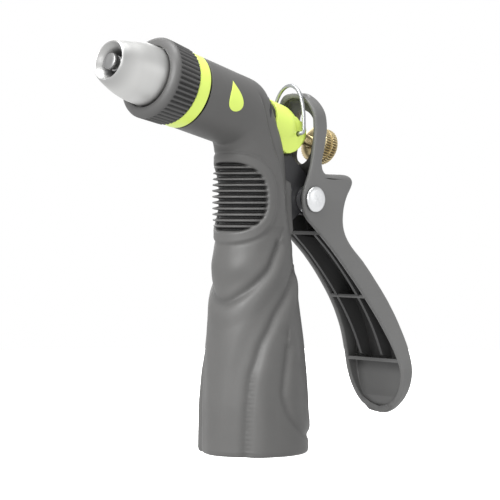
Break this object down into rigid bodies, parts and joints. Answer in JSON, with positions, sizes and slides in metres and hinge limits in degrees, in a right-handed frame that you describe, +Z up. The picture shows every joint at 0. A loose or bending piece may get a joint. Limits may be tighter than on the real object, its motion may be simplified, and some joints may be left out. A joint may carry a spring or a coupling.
{
  "type": "hose spray nozzle",
  "caption": "Pistol-grip garden hose nozzle with a rear squeeze lever, adjusting nut, hold-open wire and twist spray tip.",
  "frame": {"origin": "middle of the object's box, on the plane that its base rim stands on", "axes": "+Z up along the handle, the nozzle points to -X, the lever hangs on the +X side"},
  "size_m": [0.1321, 0.0376, 0.1382],
  "materials": {
    "zinc_casting": "dark powder coat",
    "grip_rubber": "satin moulded rubber",
    "collar_plastic": "satin moulded",
    "lever_paint": "satin paint",
    "lime_plastic": "semi-gloss",
    "satin_nose": "satin plated",
    "steel": "bright zinc plated",
    "brass": "turned",
    "seal_rubber": "matte"
  },
  "bodies": {
    "body": {"body_casting": "zinc_casting", "grip_cover": "grip_rubber", "inlet_washer": "seal_rubber", "accent_ring": "lime_plastic", "packing_washer": "brass", "packing_ring": "seal_rubber", "packing_nut": "lime_plastic", "pivot_rivet": "steel", "pivot_washer_near": "steel", "pivot_washer_far": "steel"},
    "lever": {"trigger_lever": "lever_paint"},
    "stem": {"valve_stem": "brass", "deflector_pin": "satin_nose", "valve_washer": "seal_rubber", "valve_retainer": "brass", "spring_washer": "steel", "return_spring": "steel"},
    "adjuster": {"adjusting_nut": "brass"},
    "tip_seal": {"tip_o_ring": "seal_rubber"},
    "twist_tip": {"nose_cone": "satin_nose", "twist_collar": "collar_plastic"},
    "clip": {"hold_open_clip": "steel"}
  },
  "joints": [
    {"name": "lever_squeeze", "type": "hinge", "parent": "body", "child": "lever", "pos_m": [0.01927, 0, 0.0852], "axis": [0, 1, 0], "range_deg": [0, 14], "stiffness_Nm_per_rad": 0.7, "springref_deg": -8.59},
    {"name": "stem_pull", "type": "slide", "parent": "body", "child": "stem", "axis": [0.9659, 0, -0.2588], "range_m": [0, 0.0056], "deforming": ["return_spring"]},
    {"name": "nut_turn", "type": "hinge", "parent": "stem", "child": "adjuster", "pos_m": [0.02971, 0, 0.10428], "axis": [0.9659, 0, -0.2588], "continuous": true},
    {"name": "tip_advance", "type": "slide", "parent": "body", "child": "tip_seal", "axis": [-0.9659, 0, 0.2588], "range_m": [0, 0.0025]},
    {"name": "tip_twist", "type": "hinge", "parent": "tip_seal", "child": "twist_tip", "pos_m": [-0.04659, 0, 0.12472], "axis": [-0.9659, 0, 0.2588], "range_deg": [0, 300]},
    {"name": "clip_swing", "type": "hinge", "parent": "body", "child": "clip", "pos_m": [0.014, 0, 0.10745], "axis": [0, 1, 0], "range_deg": [-20, 2]}
  ],
  "couplings": [
    {"joint": "stem_pull", "follows": "lever_squeeze", "m_per_rad": 0.0225},
    {"joint": "tip_advance", "follows": "tip_twist", "m_per_rad": 0.000477}
  ]
}
